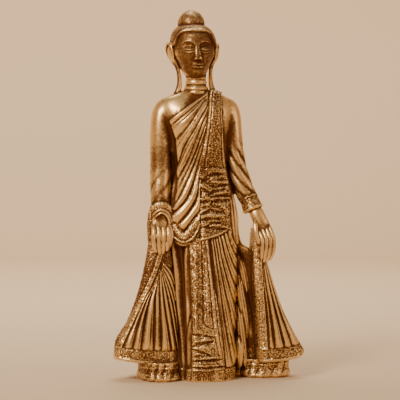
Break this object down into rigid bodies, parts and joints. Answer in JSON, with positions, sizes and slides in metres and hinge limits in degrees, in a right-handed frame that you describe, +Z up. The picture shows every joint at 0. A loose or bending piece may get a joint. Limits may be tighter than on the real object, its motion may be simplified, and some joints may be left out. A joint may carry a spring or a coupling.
{
  "type": "buddha statuette",
  "caption": "Standing buddha figure in a pleated robe with stippled borders, held out at both sides like wings, on its own flat-bottomed hem, in an antique gold finish.",
  "frame": {"origin": "middle of the figure's bounding box, on the plane that it stands on", "axes": "+Z up, the figure faces -Y, its left hand is towards +X"},
  "size_m": [0.1816, 0.0806, 0.3486],
  "materials": {
    "antique_gold": "moulded resin with an antique gold finish: worn gold on the raised folds and borders, umber in the hollows, satin"
  },
  "bodies": {
    "root": {"standing_buddha": "antique_gold"}
  },
  "joints": []
}
